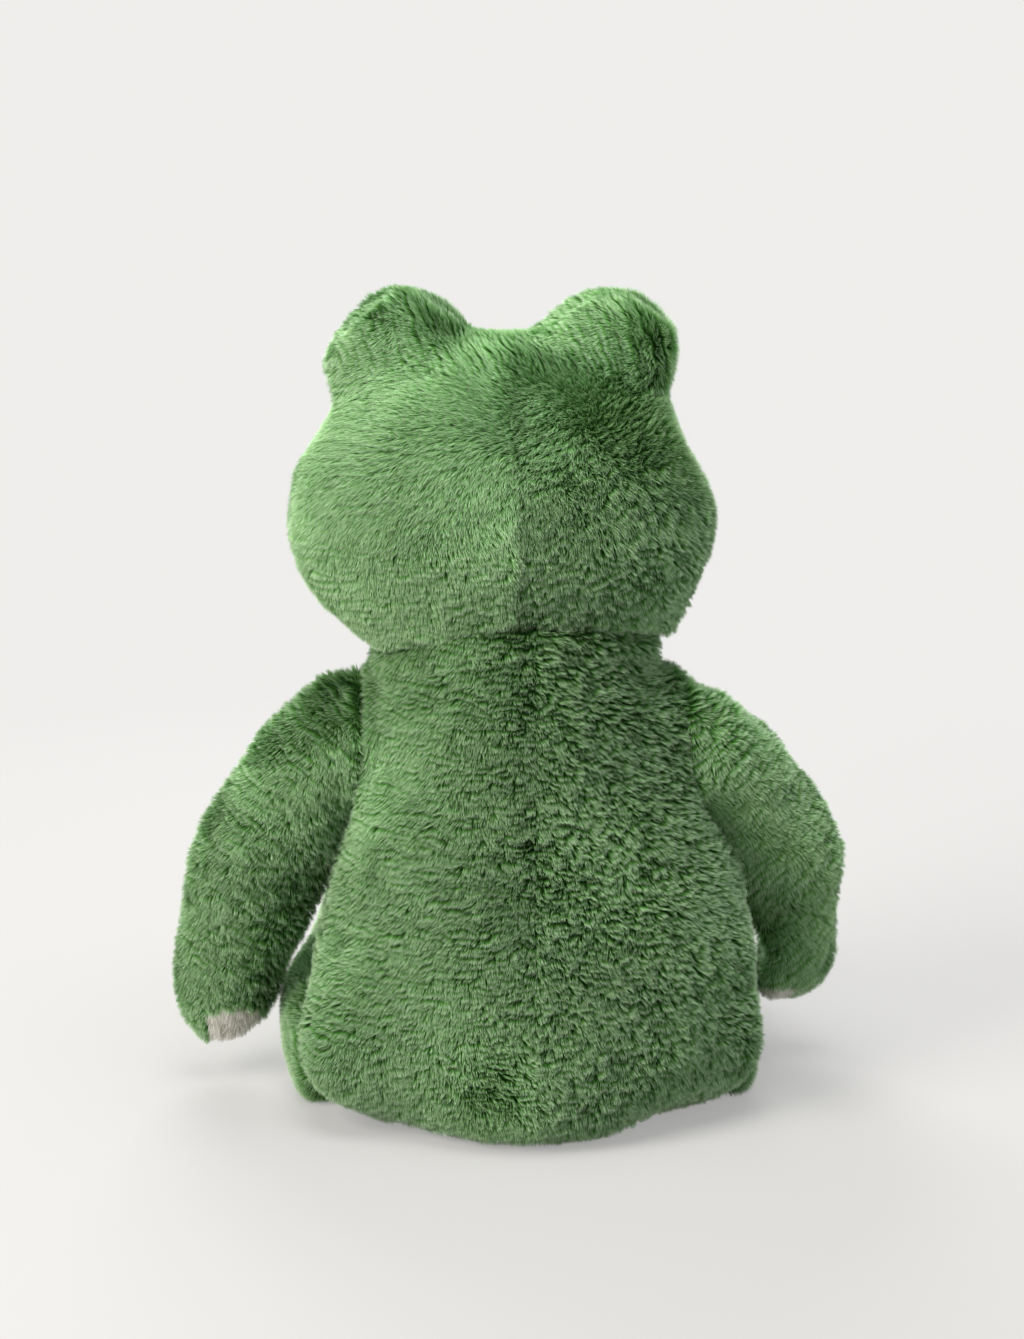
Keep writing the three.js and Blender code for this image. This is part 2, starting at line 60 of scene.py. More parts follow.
bpy.context.scene.view_settings.view_transform = "Standard"


# Studio. The frog sits on a wide matt paper floor that fades into pale walls. One big soft lamp
# stands high behind its left side, one hangs over it, a weak one fills its right, and a broad one
# lights its face.
def linear(colour, alpha=1.0):
    """An sRGB hex colour as Blender's linear numbers."""
    parts = [int(colour[i : i + 2], 16) / 255 for i in (1, 3, 5)]
    parts = [c / 12.92 if c < 0.04045 else ((c + 0.055) / 1.055) ** 2.4 for c in parts]
    return (*parts, alpha)


def add_node(tree, kind, settings=None, links=None):
    """A node with its settings, and with links from other sockets into its inputs."""
    node = tree.nodes.new(kind)
    for name, value in (settings or {}).items():
        if isinstance(name, int) or name in node.inputs:
            node.inputs[name].default_value = value
        else:
            setattr(node, name, value)
    for name, socket in (links or {}).items():
        tree.links.new(socket, node.inputs[name])
    return node


def new_material(name):
    material = bpy.data.materials.new(name)
    material.use_nodes = True
    material.node_tree.nodes.clear()
    return material, material.node_tree


def finish_material(tree, shader):
    add_node(tree, "ShaderNodeOutputMaterial", links={"Surface": shader})


def new_piece(name, mesh, material, smooth=True):
    piece = bpy.data.objects.new(name, mesh)
    bpy.context.scene.collection.objects.link(piece)
    mesh.materials.clear()
    mesh.materials.append(material)
    if smooth:
        mesh.shade_smooth()
    return piece


def seen_directly(tree):
    """1 for what the camera sees itself, in a reflection or through glass, or else 0."""
    light = add_node(tree, "ShaderNodeLightPath")
    gloss = {0: light.outputs["Is Glossy Ray"], 1: light.outputs["Is Transmission Ray"]}
    either = add_node(tree, "ShaderNodeMath", {"operation": "MAXIMUM"}, gloss)
    camera_too = {0: light.outputs["Is Camera Ray"], 1: either.outputs[0]}
    return add_node(tree, "ShaderNodeMath", {"operation": "MAXIMUM"}, camera_too).outputs[0]


paper, tree = new_material("matt_paper")
matt = add_node(tree, "ShaderNodeBsdfDiffuse", {"Color": linear("#b9b8b6")})
glow = add_node(tree, "ShaderNodeEmission", {"Color": linear("#efeeec"), "Strength": 1.0})
spot = add_node(tree, "ShaderNodeTexCoord").outputs["Object"]
away = add_node(tree, "ShaderNodeVectorMath", {"operation": "LENGTH"}, {0: spot})
far = {"From Min": 0.4, "From Max": 1.0, "To Min": 0.4, "To Max": 1.0}
fade = add_node(tree, "ShaderNodeMapRange", far, {0: away.outputs["Value"]})
share = add_node(
    tree, "ShaderNodeMath", {"operation": "MULTIPLY"}, {0: fade.outputs[0], 1: seen_directly(tree)}
)
both = add_node(
    tree, "ShaderNodeMixShader", links={0: share.outputs[0], 1: matt.outputs[0], 2: glow.outputs[0]}
)
finish_material(tree, both.outputs[0])
floor = bmesh.new()
bmesh.ops.create_circle(floor, cap_ends=True, segments=64, radius=12)
mesh = bpy.data.meshes.new("paper_floor")
floor.to_mesh(mesh)
floor.free()
new_piece("paper_floor", mesh, paper, smooth=False)


def add_softbox(name, place, size, power, colour):
    lamp = bpy.data.lights.new(name, "AREA")
    lamp.shape = "DISK"
    lamp.size = size
    lamp.energy = power
    lamp.color = linear(colour)[:3]
    softbox = bpy.data.objects.new(name, lamp)
    softbox.location = place
    to_frog = Vector((0, 0, 0.22)) - Vector(place)
    softbox.rotation_euler = to_frog.to_track_quat("-Z", "Y").to_euler()
    bpy.context.scene.collection.objects.link(softbox)


add_softbox("key_lamp", (1.38, 1.15, 1.38), 1.1, 38, "#fffaf2")
add_softbox("top_lamp", (0.0, 0.35, 1.45), 1.0, 14, "#ffffff")
add_softbox("fill_lamp", (-1.6, 0.5, 0.9), 1.2, 3.5, "#f6f8ff")
add_softbox("front_lamp", (0.4, -1.7, 1.2), 1.3, 40, "#ffffff")
room = bpy.data.worlds.new("pale_room")
room.use_nodes = True
tree = room.node_tree
tree.nodes.clear()
walls = add_node(tree, "ShaderNodeBackground", {"Color": linear("#f4f6fa"), "Strength": 0.42})
backdrop = add_node(tree, "ShaderNodeBackground", {"Color": linear("#efeeec"), "Strength": 1.0})
both = add_node(
    tree,
    "ShaderNodeMixShader",
    links={0: seen_directly(tree), 1: walls.outputs[0], 2: backdrop.outputs[0]},
)
add_node(tree, "ShaderNodeOutputWorld", links={"Surface": both.outputs[0]})
bpy.context.scene.world = room


# Stuffed forms. The toy is sewn plush panels filled tight, so each body, head and limb is one
# smooth swollen form under its pile. Every panel below is a part of one of these.
def scattered(cells, salt):
    """A steady random number from 0 to 1 for each cell of a grid."""
    mixed = cells[:, 0] * 73856093 ^ cells[:, 1] * 19349663 ^ cells[:, 2] * 83492791
    mixed = mixed ^ salt * 6542989
    mixed = (mixed ^ (mixed >> 13)) * 1274126177
    mixed = (mixed ^ (mixed >> 16)) * 668265263
    return ((mixed ^ (mixed >> 15)) & 0xFFFFFF) / 0x1000000


def drift(points, size, salt):
    """Slow random change from -1 to 1 over the surface, in patches of a size in metres."""
    grid = points / size
    cell = np.floor(grid).astype(np.int64)
    inside = grid - cell
    inside = inside * inside * (3 - 2 * inside)
    total = np.zeros(len(points))
    for corner in product((0, 1), repeat=3):
        weight = np.prod(np.where(np.array(corner) == 1, inside, 1 - inside), axis=1)
        total += weight * scattered(cell + corner, salt)
    return 2 * total - 1


def places_of(form):
    return np.array([v.co for v in form.verts])


def normals_of(form):
    return np.array([v.normal for v in form.verts])


def stuffed_form(names, voxel, rounds):
    """One smooth closed form round the solids of a stuffed part. Smoothing draws a form in, so
    what it lost is smoothed too and given back."""
    form = bmesh.new()
    for name in names:
        form.from_mesh(nodes[name].data)
    bmesh.ops.remove_doubles(form, verts=form.verts, dist=0.00001)
    lump = bpy.data.meshes.new("lump")
    form.to_mesh(lump)
    form.free()
    holder = bpy.data.objects.new("lump", lump)
    bpy.context.scene.collection.objects.link(holder)
    fuse = holder.modifiers.new("fuse", "REMESH")
    fuse.mode = "VOXEL"
    fuse.voxel_size = voxel
    fused = holder.evaluated_get(bpy.context.evaluated_depsgraph_get()).to_mesh()
    form = bmesh.new()
    form.from_mesh(fused)
    bpy.data.objects.remove(holder)
    before = places_of(form)
    for _ in range(rounds):
        bmesh.ops.smooth_vert(
            form, verts=form.verts, factor=0.5, use_axis_x=True, use_axis_y=True, use_axis_z=True
        )
    lost = before - places_of(form)
    ends = np.array([[v.index for v in e.verts] for e in form.edges])
    meeting = np.bincount(ends.ravel())[:, None]
    for _ in range(rounds):
        shared = np.zeros_like(lost)
        np.add.at(shared, ends[:, 0], lost[ends[:, 1]])
        np.add.at(shared, ends[:, 1], lost[ends[:, 0]])
        lost = (lost + shared / meeting) / 2
    for vert, move in zip(form.verts, lost):
        vert.co += Vector(move)
    form.normal_update()
    return form


def drawn_in(form, depth, lumps, patch, salt):
    """Moves a form's surface in by a depth, with soft lumps where its filling is uneven."""
    moves = depth + lumps * drift(places_of(form), patch, salt)
    for vert, move in zip(form.verts, moves):
        vert.co -= float(move) * vert.normal
    form.normal_update()


def pushed(form, part, floor):
    """Presses and pulls a form as its part is, and flattens it where it sits."""
    for place, reach, move in pushes[part]:
        for vert in form.verts:
            far = (vert.co - Vector(place)).length / reach
            if far < 1:
                vert.co += (1 - far * far) ** 2 * Vector(move)
    for vert in form.verts:
        vert.co.z = max(vert.co.z, floor)
    form.normal_update()


def tree_round(names):
    """The surface of some CAD solids, for measuring how near a point is to them."""
    solids = bmesh.new()
    for name in names:
        solids.from_mesh(nodes[name].data)
    return BVHTree.FromBMesh(solids)


def marked_form(part, voxel, rounds):
    """A stuffed form under its pile, cut along its seams, with each face marked by its panel. It
    is drawn in by less than the pile's depth where another part lies near."""
    limb = len(panels[part]) == 2
    near, least = 0.012, 0.3
    form = stuffed_form(panels[part] + fillings[part], voxel, rounds)
    for place, normal in seams[part]:
        geometry = form.verts[:] + form.edges[:] + form.faces[:]
        bmesh.ops.bisect_plane(form, geom=geometry, plane_co=place, plane_no=normal, dist=0.0004)
    marks = form.faces.layers.int.new("panel")
    trees = [tree_round([name]) for name in panels[part]]
    for face in form.faces:
        middle = face.calc_center_median()
        if limb:
            past = [(middle - Vector(place)).dot(Vector(normal)) for place, normal in seams[part]]
            face[marks] = int(min(past) > 0)
        else:
            face[marks] = min(range(len(trees)), key=lambda i: trees[i].find_nearest(middle)[3])
    form.normal_update()
    depth = np.full(len(form.verts), pile_depth)
    for other in panels:
        if other != part:
            for i, vert in enumerate(form.verts):
                far = part_trees[other].find_nearest(vert.co, near)[3]
                if far is not None:
                    depth[i] = min(depth[i], pile_depth * max(least, far / near))
    drawn_in(form, depth, 0.0024 if limb else 0.0012, 0.028, len(part))
    pushed(form, part, 0.0018)
    return form


pile_depth = 0.0042
panels = {
    "torso": ["body_back_left", "body_back_right", "seat_panel", "belly_panel"],
    "head": ["head_back_left", "head_back_right", "face_upper", "face_lower"],
}
fillings = {"torso": ["body_stuffing", "neck_stuffing"], "head": ["head_stuffing"]}
belly, face_low, face_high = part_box("belly_panel"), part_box("face_lower"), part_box("face_upper")
back_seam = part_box("head_back_left")[0].x
seams = {
    "torso": [
        ((belly[0].x, 0, 0), (1, 0, 0)),
        ((belly[1].x, 0, 0), (1, 0, 0)),
        ((0, belly[1].y, 0), (0, 1, 0)),
        ((0, 0, 0), (1, 0, 0)),
    ],
    "head": [
        ((back_seam, 0, 0), (1, 0, 0)),
        ((0, face_high[1].y, 0), (0, 1, 0)),
        ((0, 0, face_low[1].z), (0, 0, 1)),
    ],
}
for side, sign, pitch in (("left", 1, 12), ("right", -1, 26)):
    panels["head"] += [f"bump_back_{side}", f"bump_front_{side}"]
    fillings["head"].append(f"bump_stuffing_{side}")
    for limb, pad in (("arm", "paw_pad"), ("leg", "foot_sole")):
        panels[f"{limb}_{side}"] = [f"{limb}_{side}", f"{pad}_{side}"]
        fillings[f"{limb}_{side}"] = [f"{limb}_stuffing_{side}"]
    # A limb's pad is what lies past all its planes: two for a paw, at the wrist and along the
    # middle of the end, and one for a sole.
    hang = Quaternion((1, 0, 0), -math.radians(pitch)) @ Quaternion((0, 1, 0), -math.radians(3.5))
    wrist = Vector((0.005 + sign * 0.083, 0, 0.2)) + hang @ Vector((sign * 0.062, 0, -0.169))
    tip = wrist + hang @ Vector((sign * 0.004, 0, 0))
    seams[f"arm_{side}"] = [
        (wrist, hang @ Vector((sign * -0.12, 0.62, -0.77))),
        (tip, hang @ Vector((-sign, 0.15, 0.1))),
    ]
    seams[f"leg_{side}"] = [((0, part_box(f"leg_{side}")[0].y, 0), (0, -1, 0))]

# Each part is pressed and pulled to its own shape: a place, how far round it that reaches,
# and the move there.
pushes = {
    "torso": [
        ((0.010, 0.060, 0.228), 0.07, (0, 0.009, 0.005)),
        ((-0.085, 0.055, 0.0), 0.06, (0.009, -0.004, 0.004)),
        ((-0.105, 0.030, 0.030), 0.050, (-0.009, 0.003, 0)),
        ((0.105, 0.050, 0.040), 0.06, (0.014, 0.005, 0)),
        ((0.102, 0.058, 0.030), 0.04, (0.007, 0.006, 0.001)),
        ((0.005, 0.080, 0.008), 0.07, (0, 0.005, -0.002)),
    ],
    "head": [
        ((0.0705, 0, 0.438), 0.045, (0, 0, -0.006)),
        ((0.105, 0, 0.432), 0.040, (-0.016, 0, -0.009)),
        ((0.038, 0, 0.436), 0.030, (0.008, 0, -0.006)),
        ((-0.0355, 0, 0.438), 0.045, (0, 0, -0.007)),
        ((-0.006, 0, 0.434), 0.032, (-0.015, 0, -0.009)),
        ((-0.070, 0, 0.434), 0.030, (0.011, 0, -0.008)),
        ((-0.085, 0, 0.355), 0.040, (0.006, 0, -0.003)),
        ((0.115, 0, 0.365), 0.03, (-0.005, 0, 0)),
        ((0.090, 0, 0.245), 0.045, (-0.005, 0, 0.003)),
        ((-0.077, 0, 0.252), 0.04, (-0.004, 0, -0.002)),
    ],
    "arm_left": [
        ((0.150, 0, 0.205), 0.085, (-0.0095, 0, -0.0065)),
        ((0.172, -0.035, 0.050), 0.065, (0.011, 0, -0.013)),
        ((0.112, -0.010, 0.112), 0.065, (-0.0105, 0, 0)),
    ],
    "arm_right": [
        ((-0.135, 0, 0.200), 0.085, (0.0125, 0, -0.009)),
        ((-0.095, 0, 0.228), 0.045, (0.002, 0, -0.006)),
        ((-0.160, 0, 0.105), 0.050, (-0.013, 0, 0)),
        ((-0.110, -0.020, 0.105), 0.060, (0.006, 0, 0)),
        ((-0.152, -0.06, 0.065), 0.06, (-0.007, 0, -0.011)),
    ],
    "leg_left": [
        ((0.118, -0.025, 0.016), 0.072, (0.012, 0.026, -0.009)),
        ((0.130, -0.045, 0.055), 0.05, (0.004, 0, 0)),
        ((0.112, -0.010, 0.010), 0.050, (0, 0.020, -0.004)),
        ((0.092, -0.215, 0.042), 0.05, (0, -0.007, 0)),
    ],
    "leg_right": [
        ((-0.104, -0.025, 0.018), 0.070, (-0.010, 0.034, -0.009)),
        ((-0.115, -0.02, 0.055), 0.06, (0.011, 0, 0)),
        ((-0.084, -0.215, 0.042), 0.05, (0, -0.007, 0)),
    ],
}
part_trees = {part: tree_round(panels[part] + fillings[part]) for part in panels}
forms, form_trees = {}, {}
for part in panels:
    big = part in ("torso", "head")
    forms[part] = marked_form(part, 0.004 if big else 0.0038, 24 if big else 12)
    form_trees[part] = BVHTree.FromBMesh(forms[part])


# Plush. Knitted backing with a dense brushed polyester pile. The fine fibres are 5 to 6 mm long,
# lie over with the nap, and cling together in wavy rows of small tufts with dark gaps between.
def row_and_tuft(roots, nap, calm, look, salt):
    """The pile clings together in wavy rows across the nap, and each row breaks up into tufts.
    Gives each fibre's place across its row and along its tuft, from -1/2 to 1/2, and two random
    numbers for the tuft."""
    height = -(roots * nap(roots)).sum(1)
    height += 0.0022 * drift(roots, np.array((0.012, 0.012, 0.008)), salt)
    height += 0.0010 * (1.5 - calm) * drift(roots, np.array((0.005, 0.005, 0.0035)), salt + 1)
    row = np.round(height / look["row"])
    cells = np.stack([row, row * 0, row * 0 + 3], axis=1).astype(np.int64)
    beside = (roots[:, 0] + 0.6 * roots[:, 1]) / look["tuft"] + 0.4 * drift(roots, 0.004, salt + 2)
    beside += scattered(cells, salt + 3)
    cells[:, 1] = np.round(beside)
    across, along = height / look["row"] - row, beside - cells[:, 1]
    return across, along, scattered(cells, salt + 4), scattered(cells, salt + 5)


def unit(vectors):
    return vectors / np.maximum(np.linalg.norm(vectors, axis=1, keepdims=True), 1e-9)


def along_surface(vectors, normals):
    return vectors - (vectors * normals).sum(1, keepdims=True) * normals


def room_for_pile(panel, others, nap, look):
    """How long a fibre can be at each point of a panel, and how open the place is: the pile is
    short where it meets another part or an eye or stitch presses it down, and little of it grows
    where two parts press together."""
    reach, touching, shortest, sparse = 0.02, 0.006, 0.004, 0.15
    places, normals = places_of(panel), normals_of(panel)
    way = unit(along_surface(nap(places), normals))
    lean = math.radians(look["lean"])
    aim_ways = math.cos(lean) * normals + math.sin(lean) * way
    room, openness = np.full(len(places), reach), np.ones(len(places))
    for other in others:
        for i, (place, normal, aim_way) in enumerate(zip(places, normals, aim_ways)):
            ahead = form_trees[other].ray_cast(Vector(place), Vector(aim_way), reach)[3]
            above = form_trees[other].ray_cast(Vector(place), Vector(normal), touching)[3]
            room[i] = min(room[i], ahead if ahead is not None else reach)
            if above is not None:
                openness[i] = sparse
    ends = np.array([[v.index for v in e.verts] for e in panel.edges])
    for _ in range(4):
        wider = openness.copy()
        np.maximum.at(wider, ends[:, 0], openness[ends[:, 1]])
        np.maximum.at(wider, ends[:, 1], openness[ends[:, 0]])
        openness = wider
    room = np.maximum(room, shortest)
    for place, radius in pressed:
        far = np.linalg.norm(places - np.array(place), axis=1)
        room = np.minimum(room, 0.0012 + np.maximum(far - radius, 0) * 0.9)
    return room, openness


def roots_on(panel, density, openness, rng):
    """Evenly scattered roots on a panel: the corners round each one and its share of each."""
    corners = np.array([[l.vert.index for l in tri] for tri in panel.calc_loop_triangles()])
    places = places_of(panel)
    a, b, c = places[corners].transpose(1, 0, 2)
    area = np.linalg.norm(np.cross(b - a, c - a), axis=1) / 2
    reach = np.cumsum(area * openness[corners].mean(1))
    count = int(reach[-1] * density)
    pick = np.searchsorted(reach, (np.arange(count) + rng.random(count)) / count * reach[-1])
    pick = np.minimum(pick, len(area) - 1)
    r, s = np.sqrt(rng.random(count)), rng.random(count)
    return corners[pick], np.stack([1 - r, r * (1 - s), r * s], axis=1), area.sum()


def upright_band(roots):
    """How far the pile stands up in the band down the middle of the back, from 0 to 1."""
    across = np.exp(-(((roots[:, 0] + 0.004) / 0.036) ** 2))
    behind = np.clip(roots[:, 1] / 0.04, 0, 1)
    over_seat = np.clip((roots[:, 2] - 0.05) / 0.05, 0, 1)
    below_neck = np.clip((0.3 - roots[:, 2]) / 0.06, 0, 1)
    return across * behind * (over_seat * below_neck)


def near_head_seam(roots):
    """How near a root is to the seam down the back of the head, from 0 to 1."""
    behind, on_head = roots[:, 1] > 0.02, roots[:, 2] > 0.25
    return np.exp(-(((roots[:, 0] - back_seam) / 0.0022) ** 2)) * behind * on_head


def pile(panel, others, nap, look, rng, salt):
    """The pile of a panel as fine tapering fibres: their points, and each one's shade of colour."""
    panel.verts.index_update()
    room, openness = room_for_pile(panel, others, nap, look)
    corners, weights, area = roots_on(panel, look["density"], openness, rng)
    count = len(corners)
    roots = (places_of(panel)[corners] * weights[:, :, None]).sum(1)
    normals = unit((normals_of(panel)[corners] * weights[:, :, None]).sum(1))
    room = (room[corners] * weights).sum(1)
    chance = rng.random((count, 6))

    # The way that each fibre lies: along the nap, tousled, and turned in the whorl.
    upright = upright_band(roots)
    calm = look["calm"](roots) * (1 - upright)
    across, along, tuft_chance, lift = row_and_tuft(roots, nap, calm, look, salt)
    way = along_surface(nap(roots), normals)
    steady = np.clip(np.linalg.norm(way, axis=1) / 0.6, 0, 1)
    way = unit(way)
    beside = unit(along_surface(np.tile([1.0, 0.6, 0.0], (count, 1)), normals))
    pull = (across * look["row"])[:, None] * way - (0.14 * along * look["tuft"])[:, None] * beside
    swirl = look["tousle"] * (drift(roots, 0.028, salt + 6) + 0.6 * drift(roots, 0.01, salt + 7))
    swirl += (tuft_chance - 0.5) * 1.1 * (1 - calm) + (chance[:, 0] - 0.5) * 0.6
    turned = np.exp(-((np.linalg.norm(roots - whorl, axis=1) / 0.024) ** 2))
    swirl += 1.3 * turned
    way = np.cos(swirl)[:, None] * way + np.sin(swirl)[:, None] * np.cross(normals, way)

    # How far it leans over, and how long it is.
    lean = look["lean"] + 18 * calm - 8 * upright - 14 * turned + 8 * drift(roots, 0.02, salt + 8)
    lean *= steady
    uneven = look["uneven"] * (1 - 0.6 * calm) * (lift - 0.5)
    lean = np.radians(lean + uneven + 16 * (chance[:, 1] - 0.5))
    length = look["length"] * (0.82 + 0.26 * tuft_chance + 0.14 * chance[:, 2])
    length = np.minimum(length, room)

    # Its tip is drawn to the middle of its tuft, more where the rows stand open.
    open_rows = np.clip(0.85 + 0.5 * drift(roots, 0.014, salt + 9), 0.3, 1.2) * (1 - 0.3 * calm)
    gather = look["gather"] * open_rows * (0.9 + 0.2 * chance[:, 3]) * length / look["length"]
    tips = roots + length[:, None] * (np.cos(lean)[:, None] * normals + np.sin(lean)[:, None] * way)
    tips += gather[:, None] * pull

    # A blade is one thin triangle, turned a little at random.
    along = unit(tips - roots)
    side = unit(np.cross(along, normals))
    twist = (chance[:, 4] - 0.5) * 1.6
    side = np.cos(twist)[:, None] * side + np.sin(twist)[:, None] * np.cross(along, side)
    wide = look["width"] * (0.75 + 0.5 * chance[:, 5])[:, None] / 2
    points = np.stack([roots - wide * side, roots + wide * side, tips], axis=1)
    points[:, :, 2] = np.maximum(points[:, :, 2], 0.0004)

    # Its shade: a random tone, with painted light and shade on top of it: paler where the pile is
    # calm, darker at the edges of a row.
    shade = 0.5 + 0.14 * drift(roots, 0.045, salt + 10) + 0.12 * (tuft_chance - 0.5)
    # Painted light: paler where the pile is calm, and on the crown and the eye bumps.
    shade += 0.3 * (calm - 0.3) + look["pale"](roots)
    # Painted light on the whorl; painted shade down the upright band of the back and in the head's
    # seam.
    shade += 0.2 * turned - 0.12 * upright - 0.2 * near_head_seam(roots)
    # Painted shade in the gaps at a row's edges, and a painted highlight on its upper side.
    shade += (0.2 * across - 0.46 * (4 * across**2 - 0.33)) * open_rows + 0.1 * (chance[:, 2] - 0.5)
    shade = np.clip(shade, 0.02, 0.86)
    return points, shade, area


def plush_piece(name, part, others, nap, look, material, seed):
    """A plush panel: its backing and its pile in one mesh. Across its map runs the shade of each
    fibre, and up its map the way from the root to the tip. The backing has the colour of roots."""
    backing = 0.0012
    panel = forms[part].copy()
    marks = panel.faces.layers.int["panel"]
    mark = panels[part].index(name)
    other_faces = [f for f in panel.faces if f[marks] != mark]
    bmesh.ops.delete(panel, geom=other_faces, context="FACES")
    rng = np.random.default_rng(seed)
    blades, shade, area = pile(panel, others, nap, look, rng, 100 * seed)
    normal_at = {tuple(v.co): v.normal.copy() for v in panel.verts}
    wall = bmesh.ops.extrude_face_region(panel, geom=panel.faces[:], use_keep_orig=True)["geom"]
    for vert in (v for v in wall if isinstance(v, bmesh.types.BMVert)):
        vert.co -= backing * normal_at[tuple(vert.co)]
    bmesh.ops.recalc_face_normals(panel, faces=panel.faces)
    panel.verts.index_update()
    cloth = places_of(panel)
    faces = [[v.index for v in f.verts] for f in panel.faces]
    panel.free()
    count = len(blades)
    cloth_corners = np.array([i for f in faces for i in f], dtype=np.int64)
    corners = np.concatenate([cloth_corners, len(cloth) + np.arange(3 * count)])
    sizes = np.concatenate([[len(f) for f in faces], np.full(count, 3)])
    vertices = np.concatenate([cloth, blades.reshape(-1, 3)])
    mesh = bpy.data.meshes.new(name)
    mesh.vertices.add(len(vertices))
    mesh.vertices.foreach_set("co", vertices.astype(np.float32).ravel())
    mesh.loops.add(len(corners))
    mesh.loops.foreach_set("vertex_index", corners.astype(np.int32))
    mesh.polygons.add(len(sizes))
    mesh.polygons.foreach_set("loop_start", (np.cumsum(sizes) - sizes).astype(np.int32))
    mesh.update(calc_edges=True)
    flat = vertices[cloth_corners]
    span = (flat - cloth.min(0)) / (cloth.max(0) - cloth.min(0))
    cloth_map = np.stack([0.4 + 0.2 * span[:, 0], 0.04 + 0.05 * span[:, 2]], axis=1)
    root, tip = np.zeros(count), np.ones(count)
    # The corners at a root lie a little apart, so that each blade has an area on the map.
    blade_map = np.stack([shade - 0.01, root, shade + 0.01, root, shade, tip], axis=1)
    layer = mesh.uv_layers.new(name="OFBake")
    whole_map = np.concatenate([cloth_map, blade_map.reshape(-1, 2)])
    layer.uv.foreach_set("vector", whole_map.astype(np.float32).ravel())
    mesh.shade_smooth()
    print(f"{name}: {area * 1e4:.0f} cm2, {count} fibres, {len(sizes)} faces")
    piece = bpy.data.objects.new(f"{name}_plush", mesh)
    bpy.context.scene.collection.objects.link(piece)
    mesh.materials.append(material)
    return piece


def plush_material(name, root, middle, tip, spread):
    """Brushed polyester pile: dark down at the roots, where the fibres shade each other, and pale
    at the tips, where the light comes through."""
    material, tree = new_material(name)
    across = add_node(tree, "ShaderNodeUVMap", {"uv_map": "OFBake"})
    split = add_node(tree, "ShaderNodeSeparateXYZ", links={0: across.outputs[0]})
    ramp = add_node(tree, "ShaderNodeValToRGB", links={0: split.outputs["Y"]})
    stops = ramp.color_ramp.elements
    stops[0].position, stops[0].color = 0.0, linear(root)
    stops[1].position, stops[1].color = 1.0, linear(tip)
    stops.new(0.5).color = linear(middle)
    tone = {"To Min": 1 - spread, "To Max": 1 + spread}
    tone = add_node(tree, "ShaderNodeMapRange", tone, {0: split.outputs["X"]})
    colour = add_node(
        tree,
        "ShaderNodeVectorMath",
        {"operation": "SCALE"},
        {0: ramp.outputs[0], "Scale": tone.outputs[0]},
    )
    shader = add_node(
        tree,
        "ShaderNodeBsdfPrincipled",
        {"Roughness": 0.8, "Specular IOR Level": 0.1},
        {"Base Color": colour.outputs[0]},
    )
    finish_material(tree, shader.outputs[0])
    return material


green_plush = plush_material("brushed_polyester_plush_green", "#092601", "#619e49", "#cde4c1", 0.62)
cream_plush = plush_material("brushed_polyester_plush_cream", "#d2ccbc", "#f4f1e8", "#fdfcf8", 0.12)
# Each look gives the fibres to a square metre, the width of a row, the length of a tuft, how calm
# the pile is at its roots and how pale it is painted there (painted light on the crown and eye
# bumps), how tousled its nap is, its lean in degrees and how uneven that is, the fibres' length,
# how strongly they gather to the middle of a tuft, and their width.
green_look = {
    "density": 3.45e6,
    "row": 0.0020,
    "tuft": 0.0048,
    # Painted light: calmer and so paler on the left, higher up, and left of the head's back seam.
    "calm": lambda roots: np.clip(
        roots @ (5, 0, 1.2) - 0.2 + 0.3 * drift(roots, 0.05, 7)
        + 0.1 * np.sign(roots[:, 0] - back_seam) * (roots[:, 2] > 0.25),
        0,
        0.75,
    ),
    # Painted highlight: paler towards the top of the crown.
    "pale": lambda roots: 0.22 * np.clip((roots[:, 2] - 0.33) / 0.06, 0, 1),
    "tousle": 0.5,
    "lean": 34,
    "uneven": 30,
    "length": 0.0056,
    "gather": 1.5,
    "width": 0.0004,
}
limb_look = {
    **green_look,
    "row": 0.0028,
    "calm": lambda roots: np.clip(0.1 + 0.3 * drift(roots, 0.05, 7), 0, 1),
    "pale": lambda roots: 0.06,
    "tousle": 0.9,
}
bump_look = {
    **limb_look,
    "row": 0.0023,
    # Painted light: the eye bumps are painted paler all over.
    "pale": lambda roots: 0.17,
    "lean": 50,
    "uneven": 20,
    "gather": 0.9,
}
cream_look = {
    **limb_look,
    "density": 2.8e6,
    "row": 0.002,
    "tousle": 0.4,
    "length": 0.0045,
    "gather": 0.5,
}
whorl = np.array([0.018, 0.09, 0.036])
pressed = []


# Eyes. Each is a glossy black safety eye, a moulded plastic dome on a shank that goes through the
# plush and is locked by a pale washer behind it. They draw the plush in a little.
def spun(outline, steps=48):
    """A round form turned about Z, from pairs of radius and height."""
    form = bmesh.new()
    line = [form.verts.new((radius, 0, height)) for radius, height in outline]
    edges = [form.edges.new(pair) for pair in zip(line, line[1:])]
    turn = {"cent": (0, 0, 0), "axis": (0, 0, 1), "angle": 2 * math.pi}
    bmesh.ops.spin(form, geom=line + edges, steps=steps, use_merge=True, **turn)
    bmesh.ops.remove_doubles(form, verts=form.verts, dist=0.00001)
    bmesh.ops.recalc_face_normals(form, faces=form.faces)
    return form


def finished(name, form, material, body, slot, *replaced):
    """A finished piece from its bmesh: its material and the body that it rides on. Its slot is not
    used.
    """
    mesh = bpy.data.meshes.new(name)
    form.to_mesh(mesh)
    form.free()
    piece = new_piece(name, mesh, material)
    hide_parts(*replaced)
    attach(piece, body)
    return piece


